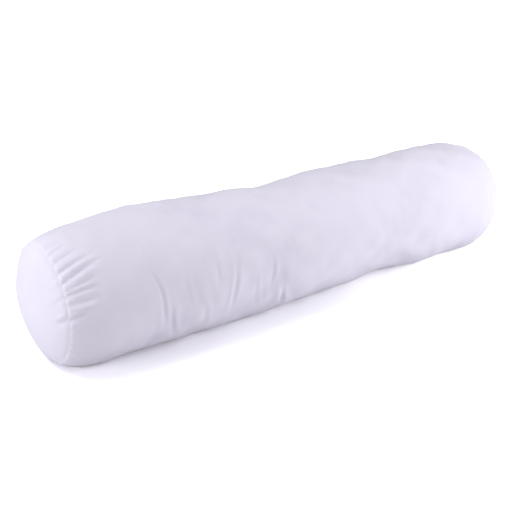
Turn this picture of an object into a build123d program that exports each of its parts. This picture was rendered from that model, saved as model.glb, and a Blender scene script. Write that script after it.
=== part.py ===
"""Bolster pillow: a cloth tube with two round end caps, gathered, sewn and stuffed with rolled wadding.

Frame, in millimetres: X runs along the pillow from its near end (-X) to its far end (+X), Z is up, and
the origin is the middle of the strip on which the pillow rests. Insets are measured inwards from the
outer face of the cloth, so every layer follows the same outline. The far end is modelled, and the near
end is its mirror image.
"""

import os
from math import asin, cos, degrees, pi, radians, sin, sqrt, tan

from build123d import *

# Stuffed pillow
overall_length = 1000.0  # tip to tip
panel_circumference = 700.0  # the tube pressed flat measures half of this across
rest_strip_width = 90.0  # the strip that the pillow's own weight flattens
end_draw_in = 21.5  # how far the gathers draw an end seam in from the full girth
shoulder_length = 75.0  # along the axis, from an end seam to the full girth
cap_rise = 24.0  # how far a stuffed cap bulges past its seam

# Cloth and seams
cloth = 0.5  # one ply of the cover
seam_allowance = 10.0  # turned inwards behind every seam
ply_gap = 0.2  # between the two long edges of the side panel
seam_angle = -10.0  # where the long seam runs, in degrees above the horizontal at the back
filling_opening = 220.0  # part of the long seam left open for stuffing, then closed by hand
seam_room = 1.5  # kept free of filling and other cloth beside an end seam, for its threads

# Thread, which lies flat on the cloth where it is pulled tight
thread_width = 0.5
thread_height = 0.3
thread_clearance = 0.3  # beside a curved face
stitch_pitch = 3.5
stitch_gap = 0.6  # between one lockstitch and the next
gathering_pitch = 9.0
gathering_gap = 3.0
overlock_pitch = 4.0
overlock_depth = 4.0  # how far an overlock loop reaches over the raw edges
closing_pitch = 6.0
closing_stitch_length = 3.2

# Filling
fill_clearance = 0.3  # between the filling and the cloth
batt_thickness = 27.0  # the carded sheet that is rolled up
batt_gap = 0.6  # between its turns

# Care label, a folded tape that hangs from the long seam
label_width = 30.0
label_length = 38.0
label_tape = 0.3
label_fold_gap = 0.3
label_station = 250.0  # along the axis, from the middle of the pillow
label_clearance = 0.3  # between its rounded root and the cloth

# Sizes that follow
body_radius = panel_circumference / (2 * pi)
axis_height = sqrt(body_radius**2 - (rest_strip_width / 2) ** 2)
seam_x = overall_length / 2 - cap_rise
seam_radius = body_radius - end_draw_in
straight_half = seam_x - shoulder_length
shoulder_radius = (shoulder_length**2 + end_draw_in**2) / (2 * end_draw_in)
dome_radius = (seam_radius**2 + cap_rise**2) / (2 * cap_rise)
rim_slope = asin(seam_radius / dome_radius)
raw_edge_radius = seam_radius - seam_allowance
thread_top = cloth + thread_height
stitch_drop = thread_top + thread_clearance + cloth / cos(rim_slope)
stitch_inset = stitch_drop / tan(rim_slope) + thread_width / 2
stitch_radius = seam_radius - stitch_inset
gathering_radius = (raw_edge_radius + overlock_depth + stitch_radius) / 2
roll_half = seam_x - cloth - seam_room
ply_face = ply_gap / 2 + cloth
label_thickness = 2 * label_tape + label_fold_gap

tilt = radians(seam_angle)
pillow_axis = Axis((0, 0, axis_height), (1, 0, 0))
middle_plane = Plane(origin=(0, 0, axis_height), x_dir=(1, 0, 0), z_dir=(0, -1, 0))
across_plane = Plane(origin=(0, 0, axis_height), x_dir=(0, 1, 0), z_dir=(1, 0, 0))
end_seam_plane = across_plane.offset(seam_x)
seam_plane = Plane(
    origin=(0, 0, axis_height), x_dir=(1, 0, 0), z_dir=(0, -sin(tilt), cos(tilt))
)
outer_plane = Plane(
    origin=(0, body_radius * cos(tilt), axis_height + body_radius * sin(tilt)),
    x_dir=(1, 0, 0),
    z_dir=(0, cos(tilt), sin(tilt)),
)


def outline(inset, half_length):
    """The tube's half section, from its axis out to an inset from its outer face, as a sketch."""
    arc_radius = shoulder_radius - inset
    turn = degrees(asin((half_length - straight_half) / arc_radius))
    centre_y = body_radius - shoulder_radius
    with BuildSketch() as section:
        with BuildLine():
            near_arc = CenterArc((-straight_half, centre_y), arc_radius, 90, turn)
            far_arc = CenterArc((straight_half, centre_y), arc_radius, 90, -turn)
            Line(near_arc @ 0, far_arc @ 0)
            Polyline(near_arc @ 1, (-half_length, 0), (half_length, 0), far_arc @ 1)
        make_face()
    return section.sketch


def tube_body(inset, half_length):
    """Everything inside the tube from an inset inwards, with its flattened resting strip."""
    with BuildPart() as body:
        with BuildSketch(middle_plane):
            add(outline(inset, half_length))
        revolve(axis=pillow_axis)
        split(bisect_by=Plane.XY.offset(inset), keep=Keep.TOP)
    return body.part


def dome(inset, base_x):
    """Everything inside the far cap from an inset inwards, and beyond x = base_x."""
    radius = dome_radius - inset
    centre_x = seam_x + cap_rise - dome_radius
    rim = sqrt(radius**2 - (base_x - centre_x) ** 2)
    with BuildPart() as body:
        with BuildSketch(middle_plane):
            with BuildLine():
                crown = RadiusArc((base_x, rim), (centre_x + radius, 0), radius)
                Polyline(crown @ 1, (base_x, 0), crown @ 0)
            make_face()
        revolve(axis=pillow_axis)
    return body.part


def float_stitch(length):
    """One stitch where it lies along a face: it runs along X and stands on Z = 0."""
    with BuildPart() as stitch:
        with BuildSketch():
            Rectangle(length, thread_width)
        extrude(amount=thread_height)
    return stitch.solid()


def overlock_loop(ply_outside):
    """One overlock loop round a pair of plies that run along X, whose raw edge is at Y = 0.

    The plies lie on the +Y side, and reach ply_outside from Z = 0 each way.
    """
    with BuildPart() as loop:
        with BuildSketch(Plane.YZ):
            with Locations((-thread_clearance - thread_height, 0)):
                Rectangle(
                    thread_height + thread_clearance + overlock_depth,
                    2 * (ply_outside + thread_height),
                    align=(Align.MIN, Align.CENTER),
                )
            with Locations((-thread_clearance, 0)):
                Rectangle(
                    thread_clearance + 2 * overlock_depth,
                    2 * ply_outside,
                    align=(Align.MIN, Align.CENTER),
                    mode=Mode.SUBTRACT,
                )
        extrude(amount=thread_width / 2, both=True)
    return loop.solid()


def laid_along(path, upright, pitch, piece):
    """Separate copies of a small piece, evenly along a path, with their Z along `upright`."""
    count = int(path.length // pitch)
    shares = [(i + 0.5) / count for i in range(count)]
    places = [Plane(path @ share, path % share, upright).location for share in shares]
    return Compound([place * piece for place in places])


def ring_path(plane, radius):
    """A whole circle about the pillow's axis."""
    with BuildLine(plane) as ring:
        CenterArc((0, 0), radius, 0, 360)
    return ring.wire()


def long_seam_path(plane, inset, start_x, end_x):
    """A line along the far half of the long seam, at an inset from the outer face of the cloth."""
    arc_radius = shoulder_radius - inset
    turn = degrees(asin((end_x - straight_half) / arc_radius))
    centre_y = body_radius - shoulder_radius
    with BuildLine(plane) as path:
        Line((start_x, body_radius - inset), (straight_half, body_radius - inset))
        CenterArc((straight_half, centre_y), arc_radius, 90, -turn)
    return path.wire()


# Side panel: one rectangle of cloth rolled into the tube, with its edges turned in at every seam
with BuildPart() as side_panel:
    add(tube_body(0, seam_x))
    add(tube_body(cloth, seam_x - cloth), mode=Mode.SUBTRACT)
    with BuildSketch(across_plane):
        Circle(raw_edge_radius)
    extrude(amount=seam_x, both=True, mode=Mode.SUBTRACT)
    with BuildSketch(seam_plane):
        add(outline(cloth / 2, roll_half))
        add(outline(cloth + seam_allowance, roll_half), mode=Mode.SUBTRACT)
    extrude(amount=ply_face, both=True)
    with BuildSketch(seam_plane):
        with Locations((0, raw_edge_radius - cloth)):
            Rectangle(overall_length, body_radius, align=(Align.CENTER, Align.MIN))
    extrude(amount=ply_gap / 2, both=True, mode=Mode.SUBTRACT)

# End cap: a disc of cloth, domed by the filling, whose edge lies flat against the edge of the tube
with BuildPart() as far_end_cap:
    add(dome(0, seam_x))
    add(dome(cloth, seam_x + cloth), mode=Mode.SUBTRACT)
    with BuildSketch(end_seam_plane):
        Circle(raw_edge_radius)
    extrude(amount=cloth, mode=Mode.SUBTRACT)

# End seam: a gathering thread draws in the tube's edge, a lockstitch joins it to the cap, and an
# overlock binds both raw edges
lockstitch = float_stitch(stitch_pitch - stitch_gap)
needle_ring = ring_path(across_plane.offset(seam_x + cloth), stitch_radius)
far_needle = laid_along(needle_ring, (1, 0, 0), stitch_pitch, lockstitch)
far_bobbin = mirror(far_needle, about=end_seam_plane)
gathering_ring = ring_path(across_plane.offset(seam_x - cloth), gathering_radius)
gathering_stitch = float_stitch(gathering_pitch - gathering_gap)
far_gathering = laid_along(gathering_ring, (-1, 0, 0), gathering_pitch, gathering_stitch)
raw_ring = ring_path(Plane(end_seam_plane.origin, (0, 1, 0), (-1, 0, 0)), raw_edge_radius)
far_overlock = laid_along(raw_ring, (1, 0, 0), overlock_pitch, overlock_loop(cloth))

# Long seam: two sewn runs with the filling opening between them
run_start = filling_opening / 2
run_end = roll_half - seam_room
long_line = long_seam_path(seam_plane.offset(ply_face), cloth + stitch_inset, run_start, run_end)
long_needle = laid_along(long_line, seam_plane.z_dir, stitch_pitch, lockstitch)
long_edge = long_seam_path(seam_plane, cloth + seam_allowance, run_start, run_end)
long_overlock = laid_along(
    long_edge, seam_plane.z_dir, overlock_pitch, overlock_loop(ply_face)
)

# Filling opening: closed by hand with short stitches across the seam, on the outside of the cloth
with BuildPart() as closing_stitch:
    add(float_stitch(closing_stitch_length), rotation=(0, 0, 90))
closing_line = Wire(
    [Edge.make_line(outer_plane.from_local_coords((-run_start, 0, 0)),
                    outer_plane.from_local_coords((run_start, 0, 0)))]
)
closing_stitches = laid_along(
    closing_line, outer_plane.z_dir, closing_pitch, closing_stitch.solid()
)

# Care label: its rounded root is the line about which it swings at the mouth of the long seam
hinge_reach = body_radius + label_clearance + label_thickness / 2
label_root = (label_station, hinge_reach * cos(tilt), axis_height + hinge_reach * sin(tilt))
with BuildPart() as care_label:
    with BuildSketch(Plane(origin=label_root, x_dir=(0, 1, 0), z_dir=(1, 0, 0))):
        with Locations((0, -label_length / 2)):
            SlotCenterToCenter(label_length, label_thickness, rotation=90)
        with Locations((0, -label_length)):
            SlotCenterToCenter(label_length, label_fold_gap, rotation=90, mode=Mode.SUBTRACT)
    extrude(amount=label_width / 2, both=True)

# Filling: a carded sheet rolled up along the pillow, and loose fibre that rounds out each end
with BuildPart() as wadding_roll:
    add(tube_body(cloth + fill_clearance, roll_half))
    with BuildSketch(across_plane):
        with BuildLine():
            here = Vector(batt_thickness / 2, 0)
            for i in range(1, int(2 * body_radius / batt_thickness)):
                there = Vector((-1) ** i * i * batt_thickness / 2, 0)
                RadiusArc(here, there, -abs(there.X - here.X) / 2)
                here = there
            Line(here, here * 2)
        trace(line_width=batt_gap)
    extrude(amount=overall_length / 2, both=True, mode=Mode.SUBTRACT)
    with BuildSketch(seam_plane):
        add(outline(0, seam_x))
        add(outline(cloth + seam_allowance + seam_room, seam_x), mode=Mode.SUBTRACT)
    extrude(amount=ply_face + seam_room, both=True, mode=Mode.SUBTRACT)

with BuildPart() as far_end_fill:
    add(dome(cloth + fill_clearance, seam_x + cloth + seam_room))
    with BuildSketch(across_plane.offset(roll_half + fill_clearance)):
        Circle(raw_edge_radius - 2 * thread_clearance - thread_height)
    extrude(until=Until.NEXT)


def both_ends(far_shape):
    """The shape and its mirror image at the near end, as one node."""
    near_shape = mirror(far_shape, about=Plane.YZ)
    return Compound([*far_shape.solids(), *near_shape.solids()])


def write(name, shape):
    """Labels one finished piece and writes it as its own STEP file."""
    shape.label = name
    export_step(shape, f"parts/{name}.step")


os.makedirs("parts", exist_ok=True)
write("side_panel", side_panel.part)
write("long_seam_needle_thread", both_ends(long_needle))
write("long_seam_bobbin_thread", both_ends(mirror(long_needle, about=seam_plane)))
write("long_seam_overlock", both_ends(long_overlock))
write("closing_stitches", closing_stitches)
write("care_label", care_label.part)
write("wadding_roll", wadding_roll.part)
end_pieces = {
    "end_cap": far_end_cap.part,
    "end_gathering_thread": far_gathering,
    "end_needle_thread": far_needle,
    "end_bobbin_thread": far_bobbin,
    "end_overlock": far_overlock,
    "end_fill": far_end_fill.part,
}
for piece, far_shape in end_pieces.items():
    write(f"far_{piece}", far_shape)
    write(f"near_{piece}", mirror(far_shape, about=Plane.YZ))
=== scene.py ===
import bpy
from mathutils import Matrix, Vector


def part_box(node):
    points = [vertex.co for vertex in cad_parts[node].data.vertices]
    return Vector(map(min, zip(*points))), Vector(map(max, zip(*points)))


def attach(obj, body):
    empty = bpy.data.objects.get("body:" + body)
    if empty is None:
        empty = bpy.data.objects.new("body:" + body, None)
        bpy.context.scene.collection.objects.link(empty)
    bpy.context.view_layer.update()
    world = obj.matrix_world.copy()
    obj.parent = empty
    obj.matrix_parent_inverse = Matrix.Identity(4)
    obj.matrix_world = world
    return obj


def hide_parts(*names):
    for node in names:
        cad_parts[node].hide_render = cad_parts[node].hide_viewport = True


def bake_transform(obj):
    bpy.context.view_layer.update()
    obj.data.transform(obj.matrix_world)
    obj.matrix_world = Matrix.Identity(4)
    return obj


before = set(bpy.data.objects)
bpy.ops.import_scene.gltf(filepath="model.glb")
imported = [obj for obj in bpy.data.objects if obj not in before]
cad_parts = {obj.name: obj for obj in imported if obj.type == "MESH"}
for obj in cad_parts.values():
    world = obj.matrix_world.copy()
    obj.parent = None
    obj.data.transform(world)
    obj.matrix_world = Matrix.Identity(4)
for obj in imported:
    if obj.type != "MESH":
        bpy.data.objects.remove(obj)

"""Dresses the bolster pillow: stuffed cloth cover, gathered end seams, long seam, label and filling."""

import logging
import math
from dataclasses import dataclass, field
from enum import Enum
from typing import Any, Callable, Sequence

import bpy
import numpy as np
from mathutils import Vector

LOG = logging.getLogger("bolster")
Array = np.ndarray
MM = 0.001
# The radius, in millimetres, that turns a placed fold's angles into lengths.
FOLD_RADIUS = 100.0
# How far the turned-in edges reach, row by row, in millimetres.
INSETS = (10.0, 6.5, 3.2, 0.9)
FULL_TURN = 2 * math.pi
Colour = tuple[float, float, float]
Spot = tuple[float, float, float]


class End(Enum):
    """The two ends of the pillow, by the side of the middle on which each lies."""

    NEAR = -1
    FAR = 1

    @property
    def word(self) -> str:
        """The word that this end's pieces are named with."""
        return self.name.lower()


class FoldKind(Enum):
    """The cross-section of a fold in the cloth."""

    RIDGE = "ridge"
    CREASE = "crease"
    TUCK = "tuck"


# ---------------------------------------------------------------- shared helpers


def smooth(value: Array | float, low: float, high: float) -> Array:
    """Eases from 0 at low to 1 at high.

    Args:
        value: The number or numbers to ease.
        low: Where the easing starts.
        high: Where it ends.

    Returns:
        The eased share, between 0 and 1.
    """
    t = np.clip((np.asarray(value, dtype=float) - low) / (high - low), 0.0, 1.0)
    return t * t * (3.0 - 2.0 * t)


class TreeBuilder:
    """Adds and joins the nodes of one shader or geometry tree."""

    def __init__(self, tree: bpy.types.NodeTree) -> None:
        """Keeps the tree that the nodes go in."""
        self.tree = tree

    def add(self, kind: str, values: dict[Any, Any] | None = None, **settings: Any) -> bpy.types.Node:
        """Adds one node.

        Args:
            kind: The node's type name.
            values: Input names or numbers, each with a plain value or another node's output socket.
            settings: Properties of the node itself, such as its operation.

        Returns:
            The new node.
        """
        node = self.tree.nodes.new(kind)
        for name, value in settings.items():
            setattr(node, name, value)
        self.feed(node, values or {})
        return node

    def feed(self, node: bpy.types.Node, values: dict[Any, Any]) -> None:
        """Links or sets inputs of a node.

        Args:
            node: The node.
            values: Input names or numbers, each with a plain value or another node's output socket.
        """
        for name, value in values.items():
            if isinstance(value, bpy.types.NodeSocket):
                self.tree.links.new(value, node.inputs[name])
            else:
                node.inputs[name].default_value = value

    def mix(self, share: Any, first: Any, second: Any) -> bpy.types.NodeSocket:
        """Adds a colour mix.

        Args:
            share: How much of the second colour shows.
            first: The first colour, or a socket.
            second: The second colour, or a socket.

        Returns:
            The mixed colour.
        """
        ends = [c if isinstance(c, bpy.types.NodeSocket) else (*c, 1) for c in (first, second)]
        return self.add("ShaderNodeMix", {0: share, 6: ends[0], 7: ends[1]}, data_type="RGBA").outputs[2]

    def span(self, value: Any, low: float, high: float, start: float = 0.0, stop: float = 1.0) -> Any:
        """Adds a Map Range node.

        Args:
            value: The value or socket to map.
            low: What the start maps to.
            high: What the stop maps to.
            start: Where the range starts.
            stop: Where the range stops.

        Returns:
            The mapped value's socket.
        """
        return self.add("ShaderNodeMapRange", {0: value, 1: start, 2: stop, 3: low, 4: high}).outputs[0]

    def math(self, operation: str, first: Any, second: Any = 0.0) -> bpy.types.NodeSocket:
        """Adds a Math node.

        Args:
            operation: The operation's name.
            first: The first value or socket.
            second: The second value or socket.

        Returns:
            The node's output.
        """
        return self.add("ShaderNodeMath", {0: first, 1: second}, operation=operation).outputs[0]


@dataclass(frozen=True)
class Port:
    """One named input or output of a node group."""

    name: str
    kind: str
    default: Any = None


def new_group(
    name: str, kind: str, inputs: Sequence[Port], outputs: Sequence[Port]
) -> tuple[bpy.types.NodeTree, TreeBuilder, bpy.types.Node, bpy.types.Node]:
    """Makes an empty node group with its sockets.

    Args:
        name: The group's name.
        kind: The tree's type, for shading or for geometry.
        inputs: The input sockets.
        outputs: The output sockets.

    Returns:
        The tree, its builder, and its input and output nodes.
    """
    tree = bpy.data.node_groups.new(name, kind)
    for direction, ports in (("INPUT", inputs), ("OUTPUT", outputs)):
        for port in ports:
            socket = tree.interface.new_socket(port.name, in_out=direction, socket_type=port.kind)
            if port.default is not None:
                socket.default_value = port.default
    build = TreeBuilder(tree)
    return tree, build, build.add("NodeGroupInput"), build.add("NodeGroupOutput")


@dataclass
class Wave:
    """One smooth ripple field: a sum of waves, each whole round the pillow."""

    seed: int
    height: float
    round_count: tuple[int, int]
    length: tuple[float, float]
    modes: int = 40

    def at(self, x: Array, theta: Array) -> Array:
        """Works out the ripple.

        Args:
            x: Stations along the pillow, in metres.
            theta: Angles round it, in radians.

        Returns:
            Heights in metres, with a standard deviation of `height`.
        """
        rng = np.random.default_rng(self.seed)
        total = np.zeros(np.broadcast(x, theta).shape)
        for _ in range(self.modes):
            turns = rng.integers(self.round_count[0], self.round_count[1] + 1)
            span = rng.uniform(*self.length)
            sign, phase = rng.choice([-1, 1]), rng.uniform(0, FULL_TURN)
            total += np.cos(turns * theta + sign * FULL_TURN * x / span + phase)
        return total * self.height * math.sqrt(2 / self.modes)


def mesh_object(
    name: str, points: Array, faces: Sequence[Sequence[int]], uv: Array | None = None,
    fold: Array | None = None,
) -> bpy.types.Object:
    """Makes a smooth mesh object at the origin.

    Args:
        name: The object's name.
        points: Vertex positions, in metres.
        faces: The vertex numbers of each face.
        uv: Cloth coordinates of each vertex, in metres of flat cloth.
        fold: How far each vertex stands above (+) or below (-) the even surface, in millimetres.

    Returns:
        The new object.
    """
    mesh = bpy.data.meshes.new(name)
    mesh.from_pydata(np.asarray(points, dtype=float).tolist(), [], [tuple(f) for f in faces])
    mesh.polygons.foreach_set("use_smooth", [True] * len(mesh.polygons))
    if uv is not None:
        layer = mesh.uv_layers.new(name="cloth")
        corner = np.empty(len(mesh.loops), dtype=np.int32)
        mesh.loops.foreach_get("vertex_index", corner)
        layer.data.foreach_set("uv", np.asarray(uv, dtype=np.float32)[corner].reshape(-1))
    if fold is not None:
        mesh.attributes.new("fold", "FLOAT", "POINT").data.foreach_set(
            "value", np.asarray(fold, dtype=np.float32)
        )
    mesh.update()
    made = bpy.data.objects.new(name, mesh)
    bpy.context.scene.collection.objects.link(made)
    return made


def grid_faces(rows: int, columns: int, closed: bool) -> list[tuple[int, ...]]:
    """Joins a grid of vertices, numbered row by row, with quads.

    Args:
        rows: The grid's rows.
        columns: The grid's columns.
        closed: Whether the last column joins up with the first.

    Returns:
        The quads, row by row.
    """
    last = columns if closed else columns - 1
    return [(i * columns + j, i * columns + (j + 1) % columns, (i + 1) * columns + (j + 1) % columns,
             (i + 1) * columns + j) for i in range(rows - 1) for j in range(last)]


def declare(
    piece: bpy.types.Object, node: str, finish: bpy.types.Material | None = None
) -> None:
    """Dresses a piece that belongs to the pillow's own body, hides the CAD node that it stands for, and
    attaches it to the pillow.

    Args:
        piece: The piece.
        node: The CAD node that it replaces.
        finish: Its material, if the mesh has none yet.
    """
    if finish:
        piece.data.materials.append(finish)
    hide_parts(node)
    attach(piece, "pillow")
    LOG.info("%s: %d faces", piece.name, len(piece.data.polygons))


def give_thickness(piece: bpy.types.Object, thickness: float) -> None:
    """Thickens a cloth piece inwards from its outer face, as a live modifier.

    Args:
        piece: The cloth piece.
        thickness: The cloth's thickness in metres.
    """
    wall = piece.modifiers.new("ply", "SOLIDIFY")
    wall.thickness = thickness
    wall.offset = -1.0
    wall.use_rim = True
    wall.use_quality_normals = True


# ---------------------------------------------------------------- finishes


class Effects:
    """Shader node groups that several finishes share, each built once."""

    @staticmethod
    def weave() -> bpy.types.NodeTree:
        """Builds the plain weave: two sets of round yarns that pass over and under each other.

        Returns:
            The group, which gives the yarns' height and the gaps between them.
        """
        if "plain weave" in bpy.data.node_groups:
            return bpy.data.node_groups["plain weave"]
        tree, b, inp, out = new_group(
            "plain weave", "ShaderNodeTree",
            [Port("Cloth", "NodeSocketVector"), Port("Yarns per metre", "NodeSocketFloat", 2400.0),
             Port("Slub", "NodeSocketFloat", 0.25)],
            [Port("Height", "NodeSocketFloat"), Port("Gap", "NodeSocketFloat")],
        )
        slub = b.add("ShaderNodeTexNoise", {"Vector": inp.outputs["Cloth"], "Scale": 420.0, "Detail": 2.0})
        shift = b.math("MULTIPLY", b.math("SUBTRACT", slub.outputs[0], 0.5), inp.outputs["Slub"])
        split = b.add("ShaderNodeSeparateXYZ", {0: inp.outputs["Cloth"]})
        waves = []
        for axis in (0, 1):
            along = b.math("MULTIPLY", split.outputs[axis], inp.outputs["Yarns per metre"])
            waves.append(b.math("SINE", b.math("MULTIPLY", b.math("ADD", along, shift), math.pi)))
        warp, weft = (b.math("ABSOLUTE", wave) for wave in waves)
        over = b.span(b.math("MULTIPLY", *waves), 0.0, 1.0, -0.6, 0.6)
        top = b.add("ShaderNodeMix", {0: over, 2: warp, 3: weft}, data_type="FLOAT").outputs[0]
        b.feed(out, {"Height": top, "Gap": b.math("SUBTRACT", 1.0, b.math("MAXIMUM", warp, weft))})
        return tree

    @staticmethod
    def nap() -> bpy.types.NodeTree:
        """Builds the brushed nap: short loose fibres and faint uneven tone from handling.

        Returns:
            The group, which gives the fibres' height and the tone.
        """
        if "brushed nap" in bpy.data.node_groups:
            return bpy.data.node_groups["brushed nap"]
        tree, b, inp, out = new_group(
            "brushed nap", "ShaderNodeTree",
            [Port("Place", "NodeSocketVector"), Port("Fibre scale", "NodeSocketFloat", 900.0),
             Port("Tone scale", "NodeSocketFloat", 9.0)],
            [Port("Height", "NodeSocketFloat"), Port("Tone", "NodeSocketFloat")],
        )
        place = inp.outputs["Place"]
        fibre = b.add("ShaderNodeTexNoise", {"Vector": place, "Scale": inp.outputs["Fibre scale"],
                                             "Detail": 4.0, "Roughness": 0.65, "Distortion": 1.4})
        rub = b.add("ShaderNodeTexNoise", {"Vector": place, "Scale": inp.outputs["Tone scale"],
                                           "Detail": 5.0, "Roughness": 0.55})
        b.feed(out, {"Height": fibre.outputs[0], "Tone": b.span(rub.outputs[0], 0.0, 1.0, 0.3, 0.7)})
        return tree

    @staticmethod
    def fold_shade_and_dirt() -> bpy.types.NodeTree:
        """Builds the fold mask: deep creases come out 1, where light doesn't reach; the cover paints shade
        there, with some dirt.

        Returns:
            The group, which gives the mask.
        """
        if "fold shade and dirt" in bpy.data.node_groups:
            return bpy.data.node_groups["fold shade and dirt"]
        tree, b, inp, out = new_group(
            "fold shade and dirt", "ShaderNodeTree",
            [Port("Fold", "NodeSocketFloat"), Port("Place", "NodeSocketVector"),
             Port("Depth", "NodeSocketFloat", 2.5)],
            [Port("Mask", "NodeSocketFloat")],
        )
        deep = b.math("DIVIDE", b.math("MULTIPLY", inp.outputs["Fold"], -1.0), inp.outputs["Depth"])
        patch = b.add("ShaderNodeTexNoise", {"Vector": inp.outputs["Place"], "Scale": 60.0, "Detail": 3.0})
        mask = b.add("ShaderNodeMath", {0: deep, 1: patch.outputs[0]}, operation="MULTIPLY", use_clamp=True)
        b.feed(out, {"Mask": mask.outputs[0]})
        return tree


class Surface(TreeBuilder):
    """The tree of one new material, round its Principled shader."""

    def __init__(self, name: str, **plain: float) -> None:
        """Starts the material.

        Args:
            name: The material's name.
            plain: Inputs of the shader that stay the same all over, with underscores for spaces.
        """
        self.material = bpy.data.materials.new(name)
        self.material.use_nodes = True
        super().__init__(self.material.node_tree)
        self.shader = self.tree.nodes["Principled BSDF"]
        self.feed(self.shader, {key.replace("_", " "): value for key, value in plain.items()})

    def cloth(self) -> bpy.types.NodeSocket:
        """Reads the flat cloth's coordinates."""
        return self.add("ShaderNodeUVMap", uv_map="cloth").outputs[0]

    def place(self) -> bpy.types.NodeSocket:
        """Reads the place on the object."""
        return self.add("ShaderNodeTexCoord").outputs["Object"]

    def group(self, tree: bpy.types.NodeTree, values: dict[str, Any]) -> bpy.types.Node:
        """Places a shared effect with this material's own values."""
        return self.add("ShaderNodeGroup", values, node_tree=tree)

    def finish(
        self, colour: Any, rough: Any, relief: Any, strength: float, depth: float
    ) -> bpy.types.Material:
        """Joins what changes over the surface to the shader.

        Args:
            colour: The base colour.
            rough: The roughness.
            relief: The height that the bump reads.
            strength: The bump's strength.
            depth: The bump's depth in metres.

        Returns:
            The finished material.
        """
        bump = self.add("ShaderNodeBump", {"Strength": strength, "Distance": depth, "Height": relief})
        self.feed(self.shader, {"Base Color": colour, "Roughness": rough, "Normal": bump.outputs[0]})
        return self.material


@dataclass(frozen=True)
class CoverCloth:
    """Soft brushed white cloth with a fine plain weave, with painted shade in its deep creases and between
    its yarns.
    """

    colour: Colour = (0.862, 0.828, 0.955)
    # Painted shade colour: darkens the deep creases and the gaps between the yarns.
    painted_shade_colour: Colour = (0.70, 0.66, 0.80)
    worn_colour: Colour = (0.838, 0.798, 0.920)
    yarns_per_metre: float = 2200.0
    weave_depth: float = 0.10
    nap_depth: float = 0.16
    sheen: float = 0.25
    worn_share: float = 0.45
    gap_shade_share: float = 0.35
    crease_shade_share: float = 0.5

    def make(self) -> bpy.types.Material:
        """Builds the material.

        Returns:
            The cover's cloth.
        """
        b = Surface("cover cloth", Sheen_Weight=self.sheen, Sheen_Roughness=0.45,
                    Specular_IOR_Level=0.15)
        place = b.place()
        weave = b.group(Effects.weave(), {"Yarns per metre": self.yarns_per_metre, "Cloth": b.cloth()})
        nap = b.group(Effects.nap(), {"Place": place})
        fold = b.add("ShaderNodeAttribute", attribute_name="fold")
        crease_shade_and_dirt = b.group(Effects.fold_shade_and_dirt(), {"Fold": fold.outputs["Fac"], "Place": place})
        worn = b.mix(b.math("MULTIPLY", nap.outputs["Tone"], self.worn_share), self.colour,
                     self.worn_colour)
        # Painted shade darkens the gaps between the yarns.
        woven = b.mix(b.math("MULTIPLY", weave.outputs["Gap"], self.gap_shade_share), worn, self.painted_shade_colour)
        # Painted shade, with some dirt, darkens the deep creases.
        creased = b.mix(b.math("MULTIPLY", crease_shade_and_dirt.outputs["Mask"], self.crease_shade_share), woven,
                        self.painted_shade_colour)
        relief = b.math("ADD", b.math("MULTIPLY", weave.outputs["Height"], self.weave_depth),
                        b.math("MULTIPLY", nap.outputs["Height"], self.nap_depth))
        return b.finish(creased, b.span(nap.outputs["Tone"], 0.82, 0.94), relief, 0.35, 0.6 * MM)


@dataclass(frozen=True)
class SewingThread:
    """White spun thread whose twist shows as fine slanting ridges."""

    name: str = "sewing thread"
    colour: Colour = (0.84, 0.84, 0.87)
    shade_colour: Colour = (0.62, 0.62, 0.68)
    twists_per_metre: float = 900.0
    roughness: float = 0.55
    sheen: float = 0.4

    def make(self) -> bpy.types.Material:
        """Builds the material.

        Returns:
            The thread.
        """
        b = Surface(self.name, Sheen_Weight=self.sheen, Specular_IOR_Level=0.3)
        place = b.place()
        turned = b.add("ShaderNodeMapping", {"Vector": place, "Rotation": (0.6, 0.5, 0.7)}).outputs[0]
        twist = b.add("ShaderNodeTexWave", {"Vector": turned, "Scale": self.twists_per_metre / 6.28,
                                            "Distortion": 0.8, "Detail": 1.0}).outputs["Fac"]
        hair = b.add("ShaderNodeTexNoise", {"Vector": place, "Scale": 1500.0, "Detail": 3.0}).outputs[0]
        rough = b.span(hair, self.roughness - 0.1, self.roughness + 0.2)
        relief = b.math("ADD", twist, b.math("MULTIPLY", hair, 0.4))
        return b.finish(b.mix(twist, self.shade_colour, self.colour), rough, relief, 0.5, 0.2 * MM)


@dataclass(frozen=True)
class LabelTape:
    """Smooth blank woven tape with a satin face, with painted shade between its yarns."""

    colour: Colour = (0.88, 0.88, 0.90)
    gap_shade_colour: Colour = (0.74, 0.74, 0.78)
    yarns_per_metre: float = 3200.0

    def make(self) -> bpy.types.Material:
        """Builds the material.

        Returns:
            The label's tape.
        """
        b = Surface("label tape", Sheen_Weight=0.2, Specular_IOR_Level=0.45)
        weave = b.group(Effects.weave(), {"Yarns per metre": self.yarns_per_metre, "Slub": 0.08,
                                          "Cloth": b.cloth()})
        nap = b.group(Effects.nap(), {"Tone scale": 70.0, "Place": b.place()})
        # Painted shade darkens the gaps between the yarns.
        return b.finish(b.mix(weave.outputs["Gap"], self.colour, self.gap_shade_colour),
                        b.span(nap.outputs["Tone"], 0.42, 0.55), weave.outputs["Height"], 0.4, 0.2 * MM)


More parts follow.
